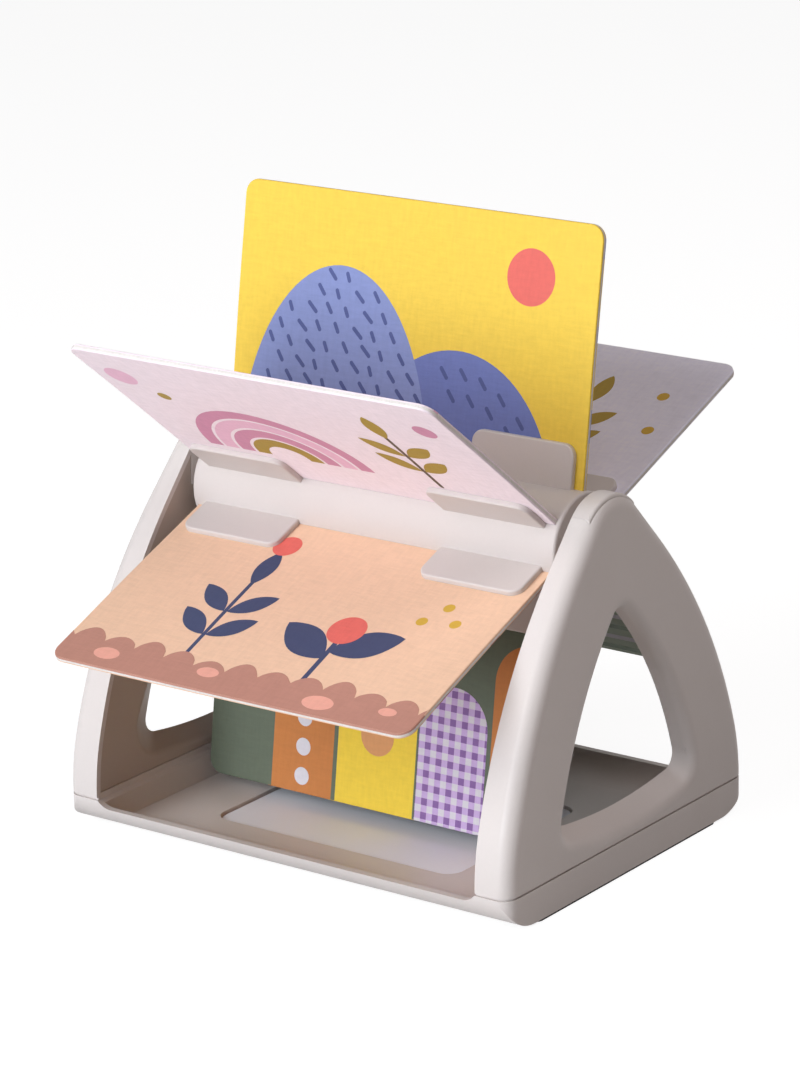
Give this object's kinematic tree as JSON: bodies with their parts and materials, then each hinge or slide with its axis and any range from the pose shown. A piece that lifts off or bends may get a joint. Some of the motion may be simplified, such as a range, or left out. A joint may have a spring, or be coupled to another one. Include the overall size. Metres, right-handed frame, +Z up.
{
  "type": "rotating board book",
  "caption": "Free-standing toy book: board pages stand out from a drum that turns by hand between two A-shaped side frames on a low tray.",
  "frame": {"origin": "on the ground, midway between the side frames and straight below the drum's axis", "axes": "+X along the drum to the right side frame, +Y to the back, +Z up"},
  "size_m": [0.2138, 0.226, 0.2471],
  "materials": {
    "body_plastic": "fine satin texture, warm off-white",
    "drum_plastic": "fine satin texture, warm off-white",
    "panel": "smooth cool grey sheet",
    "foot": "matt dark strip",
    "screw": "zinc plated",
    "page_yellow": "matt printed board, linen texture",
    "page_pink": "matt printed board, linen texture",
    "page_peach": "matt printed board, linen texture",
    "page_green": "matt printed board, linen texture",
    "page_sage": "matt printed board, linen texture",
    "page_lilac": "matt printed board, linen texture"
  },
  "bodies": {
    "base": {"base_tray": "body_plastic", "left_side_frame": "body_plastic", "right_side_frame": "body_plastic", "left_inner_cover": "body_plastic", "right_inner_cover": "body_plastic", "left_axle_cap": "body_plastic", "right_axle_cap": "body_plastic", "floor_panel": "panel", "left_foot_strip": "foot", "right_foot_strip": "foot", "base_screws": "screw"},
    "wheel": {"drum": "drum_plastic", "left_hub": "drum_plastic", "right_hub": "drum_plastic", "page_yellow": "page_yellow", "page_pink": "page_pink", "page_peach": "page_peach", "page_green": "page_green", "page_sage": "page_sage", "page_lilac": "page_lilac"}
  },
  "joints": [
    {"name": "drum_spin", "type": "hinge", "parent": "base", "child": "wheel", "pos_m": [0, 0, 0.1278], "axis": [1, 0, 0], "continuous": true}
  ]
}
